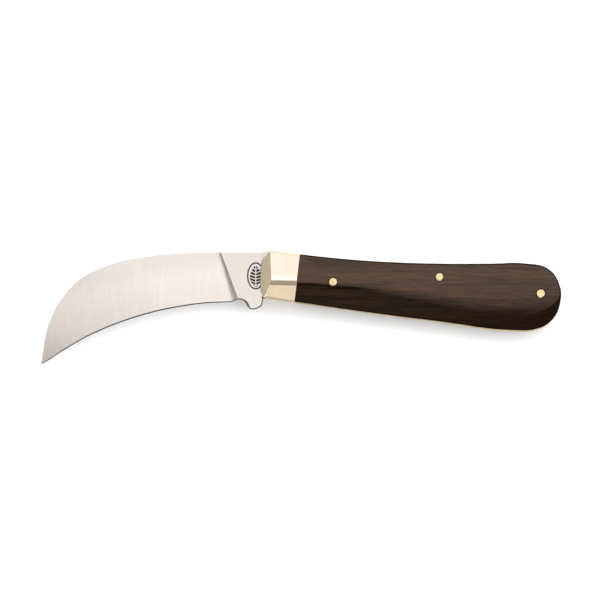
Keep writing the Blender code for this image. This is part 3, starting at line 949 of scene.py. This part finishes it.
def dark_wood():
    """Dense dark hardwood: long grain, reddish streaks, a few dark veins, an oiled sheen."""
    m = Recipe("dark_wood", (0.034, 0.02, 0.013), 0.4, 0.0, Specular_IOR_Level=0.3)
    grain = m.noise((42, 1050, 1050), detail=5, rough=0.6, distortion=0.15)
    flecks = m.noise((230, 3000, 3000), detail=3, rough=0.55, distortion=0.15)
    broad = m.noise((18, 170, 170), detail=3, rough=0.5, distortion=0.3, shift=(3.1, 0.4, 1.7))
    red = m.noise((32, 420, 420), detail=4, rough=0.6, shift=(7.7, 2.3, 0.2))
    vein = m.noise((11, 260, 260), detail=2, rough=0.45, distortion=0.25, shift=(1.9, 5.2, 0.9))
    tone = m.ramp(grain, [
        (0.3, (0.026, 0.0142, 0.0082)), (0.5, (0.037, 0.0205, 0.0118)),
        (0.72, (0.05, 0.028, 0.0158)),
    ])
    tone = m.mix(m.span(red, 0.46, 0.66, 0.0, 0.6), tone, (0.061, 0.0275, 0.0125))
    tone = m.mix(m.span(broad, 0.48, 0.68, 0.0, 0.4), tone, (0.024, 0.0145, 0.0095))
    tone = m.times(tone, m.span(flecks, 0.34, 0.66, 0.78, 1.22))
    line = m.span(m.math("ABSOLUTE", m.math("SUBTRACT", vein, 0.5)), 0.002, 0.02, 0.66, 1.0)
    tone = m.times(tone, line)
    # painted shade: a dark line along the ridge, from the bolster to past the scale pin
    to_butt = m.along((1.0, 0.0, 0.0))
    wander = m.noise((120, 60, 60), detail=2, shift=(4.4, 0.7, 2.2))
    below = m.math("ADD", m.span(wander, 0.3, 0.7, -0.0004, 0.0004), 0.00215)
    off = m.math("ADD", m.along((0.075, 1.0, 0.0)), below)
    ridge_shade = m.span(m.math("ABSOLUTE", off), 0.0002, 0.00085, 1.0, 0.0)
    ridge_shade = m.math("MULTIPLY", ridge_shade, m.span(to_butt, 0.027, 0.042, 1.0, 0.0))
    clear = m.span(ridge_shade, 0.0, 1.0, 1.0, 0.4)
    tone = m.times(tone, clear)
    # the finish is thinner where the sides fall away; the colour there, and along the lower rim,
    # is darkened as painted shade
    flat = m.flatness()
    top = m.span(flat, 0.955, 0.999, 0.0, 1.0)
    low = m.mix(m.span(to_butt, 0.03, 0.08, 0.0, 1.0), (0.4, 0.435, 0.45), (0.265, 0.225, 0.19))
    tone = m.times(tone, m.mix(top, low, WHITE))
    tone = m.times(tone, m.span(flat, 0.45, 0.93, 0.3, 1.0))
    lower_rim_shade = m.span(m.along((0.129, 1.0, 0.0)), -0.0089, -0.0079, 0.5, 1.0)
    m.color(m.times(tone, lower_rim_shade))
    gloss = m.span(top, 0.0, 1.0, 0.02, 0.32)
    for part in (m.span(broad, 0.35, 0.65, 1.12, 0.85), m.span(flecks, 0.3, 0.7, 0.9, 1.1), clear):
        gloss = m.math("MULTIPLY", gloss, part)
    m.link(gloss, m.shader.inputs["Specular IOR Level"])
    m.roughness(m.span(grain, 0.3, 0.7, 0.38, 0.5))
    m.bump(m.math("ADD", grain, m.math("MULTIPLY", flecks, 0.5)), 0.1, 0.00005)
    return m.material


def etched():
    """The dark, slightly rough ground of an acid-etched mark."""
    m = Recipe("etched_mark", (0.03, 0.027, 0.026), 0.7, 0.0, Specular_IOR_Level=0.2)
    grit = m.noise((3500, 3500, 3500), detail=3)
    m.color(m.ramp(grit, [(0.3, (0.014, 0.012, 0.012)), (0.75, (0.05, 0.044, 0.042))]))
    m.bump(grit, 0.3, 0.00001)
    return m.material


def plain_floor():
    m = Recipe("table", (0.925, 0.932, 0.94), 0.85, 0.0, Specular_IOR_Level=0.1)
    fine = m.noise((300, 300, 300), detail=2)
    m.color(m.ramp(fine, [(0.3, (0.92, 0.928, 0.937)), (0.7, (0.93, 0.938, 0.947))]))
    return m.material


# Stage ------------------------------------------------------------------------------


def softbox(name, place, target, size, radiance, matte=True, glossy=True):
    """A rectangular softbox that shines at a target with a given brightness."""
    light = bpy.data.lights.new(name, "AREA")
    light.shape = "RECTANGLE"
    light.size, light.size_y = size
    light.energy = radiance * math.pi * size[0] * size[1]
    lamp = bpy.data.objects.new(name, light)
    bpy.context.scene.collection.objects.link(lamp)
    lamp.location = place
    lamp.rotation_euler = (Vector(target) - Vector(place)).to_track_quat("-Z", "Y").to_euler()
    lamp.visible_diffuse = matte
    lamp.visible_glossy = glossy


def make_stage():
    bm = bmesh.new()
    bmesh.ops.create_grid(bm, x_segments=8, y_segments=8, size=3.0)
    mesh = bpy.data.meshes.new("table")
    bm.to_mesh(mesh)
    bm.free()
    floor = bpy.data.objects.new("table", mesh)
    bpy.context.scene.collection.objects.link(floor)
    floor.location.z = CAD_BOX[0].z - 0.0001
    mesh.materials.append(plain_floor())

    softbox("overhead", (0.0, 0.2, 1.45), (0.0, 0.2, 0.0), (1.1, 0.6), 0.72)
    softbox("overhead_front", (0.0, -0.19, 1.45), (0.0, -0.19, 0.0), (1.1, 0.18), 1.25)
    softbox("back", (0.1, 1.17, 1.74), (0.0, 0.0, 0.0), (3.2, 0.74), 5.6, glossy=False)
    softbox("right", (1.4, 0.0, 1.4), (0.0, 0.0, 0.0), (1.5, 1.8), 2.9, glossy=False)
    softbox("left", (-1.35, 0.75, 1.35), (0.0, 0.0, 0.0), (1.3, 0.9), 2.9, glossy=False)
    # what the metal mirrors of them is dimmer, so that it doesn't burn out from the sides
    softbox("back_gleam", (0.1, 1.4, 1.4), (0.0, 0.0, 0.0), (3.2, 1.5), 0.75, matte=False)
    softbox("right_gleam", (1.4, 0.0, 1.4), (0.0, 0.0, 0.0), (1.5, 1.8), 0.75, matte=False)
    softbox("left_gleam", (-1.35, 0.75, 1.35), (0.0, 0.0, 0.0), (1.3, 0.9), 0.75, matte=False)
    softbox("front", (0.1, -1.3, 1.3), (0.0, 0.0, 0.0), (1.8, 0.6), 0.36)
    softbox("front_left", (-1.1, -1.5, 1.3), (0.0, 0.0, 0.0), (0.7, 1.0), 2.9)

    world = bpy.data.worlds.new("studio")
    bpy.context.scene.world = world
    world.use_nodes = True
    world.node_tree.nodes["Background"].inputs["Color"].default_value = (1.0, 0.99, 0.975, 1.0)
    world.node_tree.nodes["Background"].inputs["Strength"].default_value = 0.52
    bpy.context.scene.view_settings.view_transform = "Standard"
    bpy.context.scene.view_settings.look = "None"


def make_camera():
    """Straight down from well above, as a product shot on a long lens."""
    height = 3.0
    middle = (5.66 * MM, -8.4 * MM)
    field = 219.0 * MM  # the width of the view at the blade's upper face
    camera = bpy.data.cameras.new("camera")
    camera.sensor_width = 36.0
    camera.lens = camera.sensor_width * (height - MIDDLE - BLADE_HALF * MM) / field
    eye = bpy.data.objects.new("camera", camera)
    bpy.context.scene.collection.objects.link(eye)
    eye.location = (*middle, height)
    bpy.context.scene.camera = eye


# The knife --------------------------------------------------------------------------


def finish_piece(piece, body, material):
    piece.data.materials.clear()
    piece.data.materials.append(material)
    if body:
        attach(piece, body)


def make_knife():
    bolster_brass = brass_for_bolster().material
    liner = brass("liner_brass", (0.62, 0.5, 0.32), (0.54, 0.41, 0.24), 0.32, (300, 3000, 3000))
    pins = brass("pin_brass", (0.8, 0.665, 0.365), (0.68, 0.495, 0.215), 0.22, (2600, 2600, 2600))
    wood = dark_wood()

    blade = make_blade("blade_ground")
    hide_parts("blade")
    finish_piece(blade, "blade", steel_for_blade())
    mark = make_mark("leaf_mark")
    finish_piece(mark, "blade", etched())

    spring = make_spring("back_spring")
    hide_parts("back_spring_arm", "back_spring_tail")
    finish_piece(spring, None, steel_for_spring())
    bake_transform(spring)

    for make, kind, material, slot in (
        (make_liner, "liner", liner.material, "liner_brass"),
        (make_bolster, "bolster", bolster_brass, "bolster_brass"),
        (make_scale, "scale", wood, "dark_wood"),
    ):
        near = make(f"{kind}_mark_side_finished")
        far = other_side(near, f"{kind}_pile_side_finished")
        for piece, side in ((near, "mark_side"), (far, "pile_side")):
            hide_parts(f"{kind}_{side}")
            if kind == "bolster":
                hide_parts(f"bolster_rivet_upper_{side}", f"bolster_rivet_lower_{side}")
            finish_piece(piece, "handle", material)

    for pin in make_pins():
        finish_piece(pin, "handle", pins.material)


make_camera()
make_stage()
make_knife()
